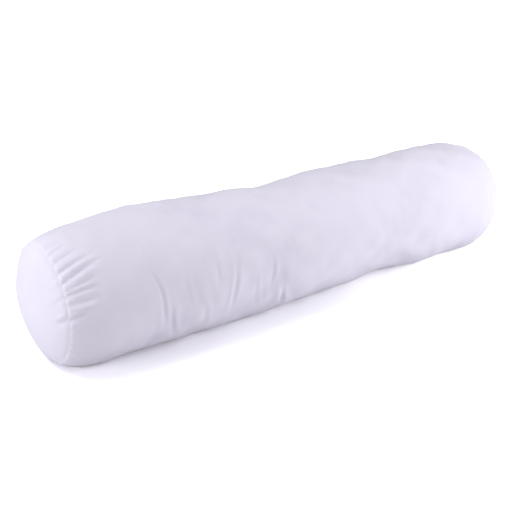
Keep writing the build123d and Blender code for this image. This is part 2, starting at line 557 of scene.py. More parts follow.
@dataclass(frozen=True)
class CardedFibre:
    """Carded white fibre: long fine strands that run along the roll, with soft clumps."""

    colour: Colour = (0.90, 0.90, 0.92)
    shade_colour: Colour = (0.66, 0.66, 0.70)

    def make(self) -> bpy.types.Material:
        """Builds the material.

        Returns:
            The fibre.
        """
        b = Surface("carded fibre", Sheen_Weight=0.6, Sheen_Roughness=0.7, Specular_IOR_Level=0.1)
        place = b.place()
        drawn = b.add("ShaderNodeMapping", {"Vector": place, "Scale": (0.12, 1.0, 1.0)}).outputs[0]
        strand = b.add("ShaderNodeTexNoise", {"Vector": drawn, "Scale": 650.0, "Detail": 6.0,
                                              "Roughness": 0.7, "Distortion": 2.2}).outputs[0]
        nap = b.group(Effects.nap(), {"Fibre scale": 260.0, "Tone scale": 35.0, "Place": place})
        clump = b.math("ADD", b.math("MULTIPLY", nap.outputs["Tone"], 0.5), 0.5)
        mixed = b.math("MULTIPLY", b.span(strand, 0.0, 1.0, 0.35, 0.65), clump)
        relief = b.math("ADD", strand, nap.outputs["Height"])
        return b.finish(b.mix(mixed, self.shade_colour, self.colour), b.span(strand, 0.85, 1.0), relief,
                        0.8, 1.5 * MM)


# ---------------------------------------------------------------- shape of the stuffed pillow


@dataclass
class Outline:
    """The even shape that the CAD model gives, before folds: radii against distance along the cloth."""

    shoulder: float = 75 * MM
    seam_angle: float = -10.0
    fullness: float = 1.9 * MM
    fullness_reach: float = 18 * MM
    radius: float = field(init=False)
    seam_radius: float = field(init=False)
    seam_x: float = field(init=False)
    rise: float = field(init=False)
    axis_z: float = field(init=False)
    arc_radius: float = field(init=False)
    shoulder_arc: float = field(init=False)
    half_cloth: float = field(init=False)
    dome_radius: float = field(init=False)

    def __post_init__(self) -> None:
        """Reads the sizes of the pillow from the CAD boxes."""
        low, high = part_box("side_panel")
        cap_low, cap_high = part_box("far_end_cap")
        self.radius = (high[1] - low[1]) / 2
        self.seam_x = high[0]
        self.seam_radius = (cap_high[2] - cap_low[2]) / 2
        self.axis_z = (cap_high[2] + cap_low[2]) / 2
        self.rise = cap_high[0] - self.seam_x
        draw_in = self.radius - self.seam_radius
        self.arc_radius = (self.shoulder**2 + draw_in**2) / (2 * draw_in)
        self.shoulder_arc = self.arc_radius * math.asin(self.shoulder / self.arc_radius)
        self.half_cloth = self.shoulder_arc + self.seam_x - self.shoulder
        self.dome_radius = (self.seam_radius**2 + self.rise**2) / (2 * self.rise)

    def around(self, x: Array, radius: Array, theta: Array) -> Array:
        """Places points round the pillow's axis.

        Args:
            x: Stations along the pillow.
            radius: Distances from the axis.
            theta: Angles in radians.

        Returns:
            The points, with their last axis x, y, z.
        """
        return np.stack(np.broadcast_arrays(x, radius * np.cos(theta),
                                            self.axis_z + radius * np.sin(theta)), -1)

    def puff(self, distance: Array) -> Array:
        """Gives how far the filling rounds out the cloth beside a seam, in metres."""
        share = distance / self.fullness_reach
        return self.fullness * share * np.exp(1 - share)

    def meridian(self, distance: Array) -> tuple[Array, Array, Array, Array]:
        """Follows the cloth from an end seam towards the middle of the pillow.

        Args:
            distance: Distances from the seam along the cloth, in metres.

        Returns:
            The station from the middle, the radius, and the outward normal's two parts (along, out).
        """
        d = np.asarray(distance, dtype=float)
        tilt = math.asin(self.shoulder / self.arc_radius)
        turn = tilt - np.minimum(d, self.shoulder_arc) / self.arc_radius
        flat = np.maximum(d - self.shoulder_arc, 0.0)
        x = self.seam_x - self.shoulder + self.arc_radius * np.sin(turn) - flat
        r = self.radius - self.arc_radius + self.arc_radius * np.cos(turn)
        puff = self.puff(d)
        return x + puff * np.sin(turn), r + puff * np.cos(turn), np.sin(turn), np.cos(turn)


@dataclass
class Pleats:
    """The gathers of one end seam: rounded ridges between narrow valleys that fan out from the seam."""

    valleys: list[float]
    leans: list[float]
    heights: list[float]
    lengths: list[float]

    @classmethod
    def spaced(cls, seed: int, placed: Sequence[tuple[float, float, float, float]] = ()) -> "Pleats":
        """Fills a ring with uneven gathers, round any that are listed.

        Args:
            seed: Fixes the uneven spacing.
            placed: Valleys given one by one: angle in degrees, lean in degrees per millimetre, the
            height of the ridge after it in millimetres, and its length in millimetres.

        Returns:
            The gathers of the whole ring.
        """
        rng = np.random.default_rng(seed)
        rows = [list(p) for p in sorted(placed)]
        angle = rows[-1][0] if rows else 0.0
        stop = (rows[0][0] if rows else 0.0) + 360.0
        while angle < stop - 16.0:
            angle += rng.uniform(7.0, 14.5)
            if stop - angle > 6.0:
                rows.append([angle, rng.uniform(-0.14, 0.14), rng.uniform(0.9, 3.1), rng.uniform(17, 44)])
        return cls(*(list(column) for column in zip(*rows)))

    def at(self, distance: Array, theta: Array) -> Array:
        """Works out the height of the gathers.

        Args:
            distance: Distances from the seam, in metres, one for each row.
            theta: Angles in radians, one for each column.

        Returns:
            Heights in metres, rows by columns.
        """
        d = np.asarray(distance)[:, None] / MM
        deg = np.degrees(np.asarray(theta))[None, :]
        start = np.array(self.valleys)[None, :] + np.array(self.leans)[None, :] * np.abs(d)
        stop = np.concatenate([start[:, 1:], start[:, :1] + 360.0], axis=1)
        total = np.zeros((d.shape[0], deg.shape[1]))
        for k, (height, length) in enumerate(zip(self.heights, self.lengths)):
            first, last = start[:, k:k + 1], stop[:, k:k + 1]
            share = ((deg - first) % 360.0) / np.maximum(last - first, 1.0)
            ridge = np.where(share < 1.0, np.sin(math.pi * np.clip(share, 0, 1)) ** 0.85, 0.0)
            total += ridge * height * np.exp(-(np.abs(d) / length) ** 1.6)
        return total * MM


@dataclass
class Fold:
    """One listed fold, from a station and angle (mm, degrees) to another."""

    start: float
    start_angle: float
    end: float
    end_angle: float
    width: float
    height: float
    bow: float = 0.0
    kind: FoldKind = FoldKind.RIDGE

    def at(self, along: Array, theta: Array, radius: Array) -> Array:
        """Works out the fold's height.

        Args:
            along: Millimetres along the pillow or from its seam, as start and end are given.
            theta: Angles in degrees.
            radius: The local radius in millimetres.

        Returns:
            Heights in metres.
        """
        middle = (self.start_angle + self.end_angle) / 2
        across = np.radians((theta - middle + 180.0) % 360.0 - 180.0) * radius
        first = np.array([self.start, math.radians(self.start_angle - middle) * FOLD_RADIUS])
        last = np.array([self.end, math.radians(self.end_angle - middle) * FOLD_RADIUS])
        run = last - first
        length = float(np.hypot(*run))
        unit = run / length
        rel_x, rel_y = along - first[0], across - first[1]
        share = (rel_x * unit[0] + rel_y * unit[1]) / length
        side = rel_x * unit[1] - rel_y * unit[0] - self.bow * 4 * share * (1 - share)
        taper = np.where((share > -0.15) & (share < 1.15),
                         np.sin(math.pi * np.clip((share + 0.15) / 1.3, 0, 1)) ** 1.3, 0.0)
        q = side / self.width
        if self.kind is FoldKind.RIDGE:
            section = np.exp(-q * q)
        elif self.kind is FoldKind.CREASE:
            section = -np.exp(-q * q) + 0.65 * np.exp(-((q - 1.9) / 1.3) ** 2)
        else:
            section = 1.65 * q * np.exp(-q * q)
        return section * taper * self.height * MM


@dataclass
class Bulge:
    """A broad swelling or hollow of the filling, centred at a station and an angle."""

    station: float
    angle: float
    reach: float
    spread: float
    height: float

    def at(self, x: Array, theta: Array) -> Array:
        """Works out the swelling's height.

        Args:
            x: Stations in millimetres.
            theta: Angles in degrees.

        Returns:
            Heights in metres.
        """
        turn = (theta - self.angle + 180.0) % 360.0 - 180.0
        return self.height * MM * np.exp(-(((x - self.station) / self.reach) ** 2)
                                         - (turn / self.spread) ** 2)


@dataclass
class StuffedCover:
    """The cloth cover: side panel and two end caps, gathered, sewn and filled."""

    outline: Outline
    cloth: float = 0.5 * MM
    allowance: float = 10 * MM
    ply_gap: float = 0.3 * MM
    columns: int = 210
    stuffing_columns: int = 224
    stuffing_depth: float = 165 * MM
    stuffing_frames: int = 14
    pressure: float = 5.0
    groove: float = 1.7 * MM
    near_gathers: Pleats = field(default_factory=lambda: Pleats.spaced(11, [
        (102.0, -0.03, 1.0, 22), (111.5, -0.06, 1.2, 28), (122.0, -0.08, 1.4, 36),
        (133.0, -0.14, 1.8, 44), (143.2, -0.17, 1.5, 44), (151.5, -0.16, 1.4, 40),
        (157.0, -0.13, 1.1, 34), (161.5, -0.02, 1.4, 34), (176.0, -0.24, 1.1, 22),
        (185.0, -0.05, 0.9, 20), (195.0, 0.0, 0.7, 22), (201.0, 0.0, 0.8, 22), (210.0, 0.05, 1.2, 24)]))
    far_gathers: Pleats = field(default_factory=lambda: Pleats.spaced(23))
    bulges: list[Bulge] = field(default_factory=lambda: [
        Bulge(-270, 82, 100, 60, 4.8), Bulge(-40, 78, 66, 60, -6.5), Bulge(140, 80, 38, 50, -2.5),
        Bulge(315, 80, 62, 50, 3.5), Bulge(175, 235, 80, 50, -7.0), Bulge(440, 240, 40, 55, 6.0),
        Bulge(-120, 170, 50, 40, -2.0), Bulge(-250, 185, 45, 35, 2.5), Bulge(-60, 200, 45, 30, 2.5)])
    body_folds: list[Fold] = field(default_factory=lambda: [Fold(*row) for row in (
        (-344, 150, -330, 197, 2.4, 2.2, 5, FoldKind.CREASE),
        (-334, 178, -326, 204, 2.8, 1.2, 3, FoldKind.CREASE),
        (-316, 184, -304, 218, 3.8, 2.0, -2, FoldKind.CREASE),
        (-372, 150, -366, 182, 5.0, 1.0, 3, FoldKind.TUCK),
        (-398, 184, -390, 212, 4.5, 0.9, 3, FoldKind.CREASE),
        (-356, 120, -350, 142, 5.5, 0.8, 2, FoldKind.TUCK),
        (-285, 150, -276, 190, 4.5, 0.9, -4, FoldKind.TUCK),
        (-262, 185, -250, 216, 4.5, 1.1, 3, FoldKind.CREASE), (-196, 160, -209, 208, 3.2, 2.0, -4),
        (-187, 158, -200, 206, 3.6, 1.6, -4, FoldKind.CREASE),
        (-226, 150, -232, 186, 4.8, 0.9, 3, FoldKind.TUCK),
        (-150, 178, -140, 214, 5.0, 1.1, -3, FoldKind.TUCK),
        (-112, 164, -120, 196, 4.0, 1.9, 2, FoldKind.TUCK),
        (-97, 196, -85, 222, 3.8, 1.8, 0, FoldKind.CREASE),
        (-72, 150, -66, 184, 5.0, 0.8, 3, FoldKind.TUCK),
        (-30, 180, -22, 214, 5.5, 1.2, 3, FoldKind.CREASE))])
    end_folds: list[Fold] = field(default_factory=lambda: [Fold(*row) for row in (
        (2, 104, 36, 105, 2.6, -1.0, 1), (0, 111, 30, 110, 2.4, -1.1, 0), (0, 122, 52, 118, 2.6, -1.2, 1),
        (4, 129, 50, 124, 2.4, 1.0, 1), (-8, 134, 60, 126, 2.2, -1.5, 1), (4, 137, 64, 129, 2.6, 1.5, 1),
        (-2, 143, 64, 132, 2.2, -1.9, 1), (14, 145, 60, 138, 2.6, 1.2, 1),
        (12, 150, 56, 144, 2.2, -1.1, 1), (-8, 154, 42, 149, 2.4, 1.4, 2),
        (-26, 159, 41, 151, 1.9, -2.3, 3), (-4, 159, 48, 155, 2.3, 1.5, 2),
        (6, 162, 48, 161, 2.6, -1.2, 0), (8, 166, 50, 165, 2.8, 1.2, 0), (4, 172, 28, 168, 2.2, 1.1, 0),
        (1, 176, 29, 170, 2.1, -1.8, 1), (3, 180, 22, 176, 2.2, 1.0, 0), (-24, 176, 4, 169, 3.0, 1.5, 0),
        (-24, 182, 3, 175, 3.4, -2.2, 0), (0, 190, 20, 188, 2.2, -0.7, 0), (2, 198, 36, 198, 2.0, 0.9, 0),
        (2, 201, 38, 201, 2.0, -1.0, 0), (0, 209, 28, 211, 2.2, -0.8, 0))])

    def __post_init__(self) -> None:
        """Stuffs both ends and lays out the panel's grid."""
        self.stuffed = {end: self._stuff(end) for end in End}
        self._lay_out_panel()

    # -- gathers

    def gathers(self, end: End) -> Pleats:
        """Gives the gathers of one end seam."""
        return self.near_gathers if end is End.NEAR else self.far_gathers

    def _stuff(self, end: End) -> tuple[Array, Array]:
        """Gathers one end of the tube on to its seam, then lets the filling's pressure round it out.

        Args:
            end: The end to stuff.

        Returns:
            The distances of its rows from the seam, and how far the pressed cloth stands from the
            even outline: along the pillow, outwards and round it, rows by columns by 3.
        """
        count = int(self.stuffing_depth / (3 * MM))
        distance = np.linspace(0, 1, count + 1) ** 1.08 * self.stuffing_depth
        theta = np.arange(self.stuffing_columns) * FULL_TURN / self.stuffing_columns
        x, r, nx, nr = self.outline.meridian(distance)
        ramp = 1 - np.exp(-((distance / (2.2 * MM)) ** 2))
        high = self.gathers(end).at(distance, theta) * ramp[:, None] * 1.5
        high[-1] = 0
        px = (x[:, None] + nx[:, None] * high) * end.value
        radius = r[:, None] + nr[:, None] * high
        points = np.stack([px, radius * np.cos(theta), radius * np.sin(theta)], -1)
        points = self._press(points, end)
        radial = np.hypot(points[..., 1], points[..., 2])
        angle = np.arctan2(points[..., 2], points[..., 1])
        slip = (angle - theta + math.pi) % (FULL_TURN) - math.pi
        fade = 1 - smooth(distance, 0.25 * self.stuffing_depth, 0.95 * self.stuffing_depth)
        offset = np.stack([points[..., 0] * end.value - x[:, None], radial - r[:, None],
                           slip * radial], -1) * fade[:, None, None]
        LOG.info("%s end stuffed: gathers up to %.1f mm", end.word, float(offset[..., 1].max()) / MM)
        return distance, offset

    def _press(self, points: Array, end: End) -> Array:
        """Runs the cloth simulation on one gathered end, with its seam and inner row held.

        Args:
            points: The gathered cloth, rows by columns by 3, about the pillow's axis.
            end: The end that it belongs to.

        Returns:
            The cloth after the filling has pressed it out.
        """
        rows, columns = points.shape[:2]
        faces = grid_faces(rows, columns, True)
        if end is End.FAR:
            faces = [quad[::-1] for quad in faces]
        cloth = mesh_object(f"{end.word} end cloth", points.reshape(-1, 3), faces)
        held = cloth.vertex_groups.new(name="held")
        held.add(list(range(columns)) + list(range((rows - 1) * columns, rows * columns)), 1.0, "REPLACE")
        modifier = cloth.modifiers.new("stuffing", "CLOTH")
        settings = modifier.settings
        settings.quality = 5
        settings.mass = 0.2
        settings.tension_stiffness = settings.compression_stiffness = 40
        settings.shear_stiffness = 12
        settings.bending_stiffness = 0.6
        settings.tension_damping = settings.compression_damping = 12
        settings.air_damping = 3
        settings.use_pressure = True
        settings.uniform_pressure_force = self.pressure
        settings.vertex_group_mass = held.name
        settings.effector_weights.gravity = 0
        modifier.collision_settings.use_collision = False
        modifier.point_cache.frame_start, modifier.point_cache.frame_end = 1, self.stuffing_frames
        for number in range(1, self.stuffing_frames + 1):
            bpy.context.scene.frame_set(number)
        done = cloth.evaluated_get(bpy.context.evaluated_depsgraph_get())
        result = np.empty(rows * columns * 3, dtype=np.float32)
        done.data.vertices.foreach_get("co", result)
        bpy.data.objects.remove(cloth, do_unlink=True)
        bpy.context.scene.frame_set(1)
        return result.reshape(rows, columns, 3).astype(float)

    def _stuffed_offset(self, end: End, distance: Array, theta: Array) -> Array:
        """Reads the pressed cloth's offset between the simulated points.

        Args:
            end: The end to read.
            distance: Distances from the seam, one for each row.
            theta: Angles in radians, one for each column.

        Returns:
            Offsets along, outwards and round, rows by columns by 3.
        """
        rows, offset = self.stuffed[end]
        i = np.clip(np.searchsorted(rows, distance) - 1, 0, len(rows) - 2)
        fi = np.clip((distance - rows[i]) / (rows[i + 1] - rows[i]), 0, 1)[:, None, None]
        place = (np.asarray(theta) / (FULL_TURN) * self.stuffing_columns) % self.stuffing_columns
        j = np.floor(place).astype(int) % self.stuffing_columns
        k = (j + 1) % self.stuffing_columns
        fj = (place - np.floor(place))[None, :, None]
        low = offset[i][:, j] * (1 - fj) + offset[i][:, k] * fj
        high = offset[i + 1][:, j] * (1 - fj) + offset[i + 1][:, k] * fj
        return np.where((distance > rows[-1])[:, None, None], 0.0, low * (1 - fi) + high * fi)

    # -- panel

    def _lay_out_panel(self) -> None:
        """Places every point of the side panel's outer face between its two end seams."""
        o = self.outline
        steps, spot = [0.0, 0.3 * MM], 0.3 * MM
        while spot < 2 * o.half_cloth:
            far = 2 * o.half_cloth - spot
            if spot < 6 * MM or far < 6 * MM:
                step = 1.2 * MM
            elif spot < 70 * MM or far < 70 * MM:
                step = 3.4 * MM
            elif 118 * MM < spot < 410 * MM:
                step = 3.2 * MM
            else:
                step = 8.6 * MM
            spot += step
            steps.append(spot)
        self.distance = np.array(steps) * (2 * o.half_cloth / steps[-1])
        turn = math.radians(o.seam_angle)
        half_gap = self.ply_gap / 2 / o.radius
        fine = np.array([0, 0.5, 1.2, 2.2, 3.5, 5.2, 7.4, 10.0]) * MM / o.radius
        span = FULL_TURN - 2 * half_gap
        bends = np.linspace(fine[-1], span - fine[-1], 721)
        front = np.abs(np.degrees(bends) + o.seam_angle - 160.0) < 66.0
        density = np.convolve(np.where(front, 2.15, 1.0), np.ones(25) / 25, "same")
        density[:12], density[-12:] = 1.0, 1.0
        share = np.concatenate([[0], np.cumsum((density[1:] + density[:-1]) / 2)])
        middle = np.interp(np.linspace(0, share[-1], self.columns), share, bends)
        self.theta = turn + half_gap + np.concatenate([fine[:-1], middle, span - fine[:-1][::-1]])
        near = self.distance <= o.half_cloth
        d = np.minimum(self.distance, 2 * o.half_cloth - self.distance)
        x, r, nx, nr = o.meridian(d)
        x, nx = np.where(near, -x, x), np.where(near, -nx, nx)
        offset = np.where(near[:, None, None], self._stuffed_offset(End.NEAR, d, self.theta),
                          self._stuffed_offset(End.FAR, d, self.theta))
        offset[..., 0] *= np.where(near, -1.0, 1.0)[:, None]
        relief = self.relief(x, d, near, r)
        along = x[:, None] + offset[..., 0] + nx[:, None] * relief
        radius = r[:, None] + offset[..., 1] + nr[:, None] * relief
        angle = self.theta[None, :] + offset[..., 2] / r[:, None]
        self.panel = self.rest_on_floor(o.around(along, radius, angle))
        self.fold = (offset[..., 1] + relief - self.broad) / MM

    def relief(self, x: Array, d: Array, near: Array, r: Array) -> Array:
        """Works out the folds, swellings and seam groove of the side panel.

        Args:
            x: The station of each row.
            d: The distance of each row from its nearer end seam.
            near: Which rows belong to the near half.
            r: The even radius of each row.

        Returns:
            Heights above the even outline, rows by columns, in metres.
        """
        xx, tt = x[:, None], self.theta[None, :]
        deg, mm = np.degrees(tt), xx / MM
        free = smooth(d, 0.0, 55 * MM)[:, None]
        self.broad = sum(b.at(mm, deg) for b in self.bulges) * smooth(d, 0.0, 70 * MM)[:, None]
        lumps = Wave(3, 1.3 * MM, (1, 5), (0.16, 0.5)).at(xx, tt)
        mottle = Wave(5, 0.62 * MM, (3, 14), (0.05, 0.14)).at(xx, tt)
        streaks = Wave(8, 0.36 * MM, (1, 9), (0.02, 0.05), 60).at(xx, tt)
        patch = 0.55 + 0.45 * np.tanh(Wave(13, 1.0, (1, 4), (0.2, 0.6)).at(xx, tt))
        total = self.broad + (lumps + mottle + streaks * patch) * free
        reach = np.broadcast_to((r / MM)[:, None], total.shape)
        for fold in self.body_folds:
            total = total + fold.at(mm, deg, reach)
        for fold in self.end_folds:
            total = total + np.where(near[:, None], fold.at(d[:, None] / MM, deg, reach), 0.0) \
                * smooth(d, 0.0, 3 * MM)[:, None]
        aside = np.abs((tt - math.radians(self.outline.seam_angle) + math.pi) % (FULL_TURN) - math.pi)
        aside = aside * r[:, None]
        pucker = np.sin(FULL_TURN * xx / (11 * MM) + 2.2 * np.sin(xx * 37) + 1.3 * np.sin(xx * 91))
        calm = 1 - 0.85 * np.exp(-(aside / (26 * MM)) ** 2)
        near_label = np.exp(-((xx - 0.25) / 0.05) ** 2 - (aside / (50 * MM)) ** 2)
        total = total * calm * (1 - near_label)
        total = total + 0.55 * MM * pucker * np.exp(-aside / (7 * MM)) * (1 - np.exp(-aside / (1.5 * MM)))
        return total - self.groove * np.exp(-(aside / (1.9 * MM)) ** 2) * smooth(d, 0, 6 * MM)[:, None]

    def rest_on_floor(self, points: Array) -> Array:
        """Presses the cloth flat where it lies on the floor.

        Args:
            points: Points of the cloth, with their last axis x, y, z.

        Returns:
            The points, none of them below the floor.
        """
        soft = 1.0 * MM
        z = points[..., 2]
        lifted = np.where(z > 12 * soft, z, soft * np.log1p(np.exp(np.minimum(z / soft, 40.0))))
        return np.concatenate([points[..., :2], lifted[..., None]], -1)

    def build_panel(self) -> bpy.types.Object:
        """Makes the side panel: its face, and the edges turned in at every seam.

        Returns:
            The side panel.
        """
        o = self.outline
        insets = np.array(INSETS) * MM
        turn = math.radians(o.seam_angle)
        inward = np.array([0.0, -math.cos(turn), -math.sin(turn)])
        left = self.panel[:, :1] + inward * insets[None, :, None]
        right = self.panel[:, -1:] + inward * insets[None, ::-1, None]
        body = np.concatenate([left, self.panel, right], 1)
        angle = np.concatenate([np.full(4, self.theta[0]), self.theta, np.full(4, self.theta[-1])])
        lips = []
        for end in End:
            lip = [o.around(end.value * (o.seam_x - 0.05 * MM), o.seam_radius - inset, angle)
                   for inset in insets]
            lips.append(np.stack(lip if end is End.NEAR else lip[::-1]))
        grid = np.concatenate([lips[0], body, lips[1]], 0)
        total_rows, total_columns = grid.shape[:2]
        number = np.arange(total_rows * total_columns).reshape(total_rows, total_columns)
        faces, used = [], np.zeros(total_rows * total_columns, dtype=bool)
        for i in range(total_rows - 1):
            lip_row = i < 7 or i >= total_rows - 8
            for j in range(total_columns - 1):
                if lip_row and (j < 4 or j >= total_columns - 5):
                    continue
                quad = (number[i, j], number[i, j + 1], number[i + 1, j + 1], number[i + 1, j])
                faces.append(quad)
                used[list(quad)] = True
        across = np.concatenate([-insets, (self.theta - self.theta[0]) * o.radius,
                                 (self.theta[-1] - self.theta[0]) * o.radius + insets[::-1]])
        length = np.concatenate([-insets, self.distance, self.distance[-1] + insets[::-1]])
        uv = np.stack(np.broadcast_arrays(across[None, :], length[:, None]), -1).reshape(-1, 2)
        fold = np.zeros((total_rows, total_columns))
        fold[4:-4, 4:-4] = self.fold
        order = np.cumsum(used) - 1
        faces = [tuple(int(order[v]) for v in quad) for quad in faces]
        piece = mesh_object("cover_side_panel", grid.reshape(-1, 3)[used], faces, uv[used],
                            fold.reshape(-1)[used])
        give_thickness(piece, self.cloth)
        return piece

    # -- caps

    def cap_surface(self, end: End, radius: Array, theta: Array) -> tuple[Array, Array]:
        """Places points of an end cap's outer face.

        Args:
            end: The cap's end.
            radius: Distances from the pillow's axis.
            theta: Angles in radians.

        Returns:
            The points, and how far each stands above the even dome, in metres.
        """
        o = self.outline
        centre = o.seam_x + o.rise - o.dome_radius
        even = centre + np.sqrt(o.dome_radius**2 - radius**2)
        slope = np.arcsin(radius / o.dome_radius)
        edge = np.maximum((o.seam_radius - radius) / np.cos(slope), 0.0)
        deg = np.degrees(theta)
        pleat = np.zeros(radius.shape)
        gathers = self.gathers(end)
        ring = [*gathers.valleys, gathers.valleys[0] + 360]
        for k, valley in enumerate(gathers.valleys):
            share = ((deg - valley) % 360.0) / max(ring[k + 1] - valley, 1.0)
            pleat += np.where(share < 1, np.sin(math.pi * np.clip(share, 0, 1)), 0) \
                * gathers.heights[k] * np.exp(-(edge / MM / (0.45 * gathers.lengths[k])) ** 1.4)
        relief = 0.42 * MM * pleat
        if end is End.NEAR:
            for fold in self.end_folds:
                relief = relief + fold.at(-edge / MM, deg, np.maximum(radius / MM, 30.0))
        cloud = Wave(31 + end.value, 0.9 * MM, (1, 3), (0.2, 0.5))
        relief = relief + cloud.at(radius * np.cos(theta), theta) * smooth(radius, 0, 30 * MM) \
            * smooth(edge, 0, 25 * MM)
        relief = relief * smooth(edge, 0, 3 * MM)
        relief = relief + o.puff(edge)
        x = end.value * (even + relief * np.cos(slope))
        r = radius + relief * np.sin(slope)
        return o.around(x, r, theta), relief

    def build_cap(self, end: End) -> bpy.types.Object:
        """Makes one end cap: its dome, and the edge turned in behind the seam.

        Args:
            end: The cap's end.

        Returns:
            The cap.
        """
        o = self.outline
        side = 56
        u = np.linspace(-1, 1, side + 1)
        gx, gy = np.meshgrid(u, u, indexing="ij")
        wide = np.abs(gx) >= np.abs(gy)
        safe_x, safe_y = np.where(gx == 0, 1e-9, gx), np.where(gy == 0, 1e-9, gy)
        share = np.where(wide, np.abs(gx), np.abs(gy))
        angle = np.where(wide, math.pi / 4 * gy / safe_x + np.where(gx < 0, math.pi, 0),
                         math.pi / 2 * np.sign(safe_y) - math.pi / 4 * gx / safe_y)
        angle = np.where((gx == 0) & (gy == 0), 0.0, angle)
        radius = o.seam_radius * (0.45 * share + 0.55 * np.sin(share * math.pi / 2))
        radius = np.where((share > 0.95) & (share < 0.99), o.seam_radius - 0.3 * MM, radius)
        points, relief = self.cap_surface(end, radius, angle)
        flat = [points.reshape(-1, 3)]
        number = np.arange((side + 1) ** 2).reshape(side + 1, side + 1)
        faces = [(number[i, j], number[i + 1, j], number[i + 1, j + 1], number[i, j + 1])
                 for i in range(side) for j in range(side)]
        rim = [*number[:-1, 0], *number[-1, :-1], *number[:0:-1, -1], *number[0, :0:-1]]
        rim_angle = angle.reshape(-1)[rim]
        uv = [np.stack([radius * np.cos(angle), radius * np.sin(angle)], -1).reshape(-1, 2)]
        last = rim
        for inset in np.array(INSETS[::-1]) * MM:
            start = sum(len(p) for p in flat)
            flat.append(o.around(end.value * (o.seam_x + 0.05 * MM), o.seam_radius - inset, rim_angle))
            uv.append(np.stack([(o.seam_radius + inset) * np.cos(rim_angle),
                                (o.seam_radius + inset) * np.sin(rim_angle)], -1))
            new = list(range(start, start + len(rim)))
            faces += [(last[k], new[k], new[(k + 1) % len(rim)], last[(k + 1) % len(rim)])
                      for k in range(len(rim))]
            last = new
        if end is End.NEAR:
            faces = [f[::-1] for f in faces]
        ring_points = np.concatenate(flat)
        fold = np.zeros(len(ring_points))
        fold[: relief.size] = (relief - o.puff(o.seam_radius - radius)).reshape(-1) / MM
        faces = [tuple(int(v) for v in f) for f in faces]
        piece = mesh_object(f"cover_{end.word}_end_cap", ring_points, faces, np.concatenate(uv), fold)
        give_thickness(piece, self.cloth)
        return piece

    def build(self, finish: bpy.types.Material) -> None:
        """Args:
            finish: The cover's cloth.
        """
        panel = self.build_panel()
        caps = {end: self.build_cap(end) for end in End}
        pieces = [(panel, "side_panel")] + [(cap, f"{end.word}_end_cap") for end, cap in caps.items()]
        for piece, node in pieces:
            declare(piece, node, finish)


# ---------------------------------------------------------------- sewing


class StitchShape(Enum):
    """How one stitch lies."""

    FLOAT = 0
    LOOP = 1


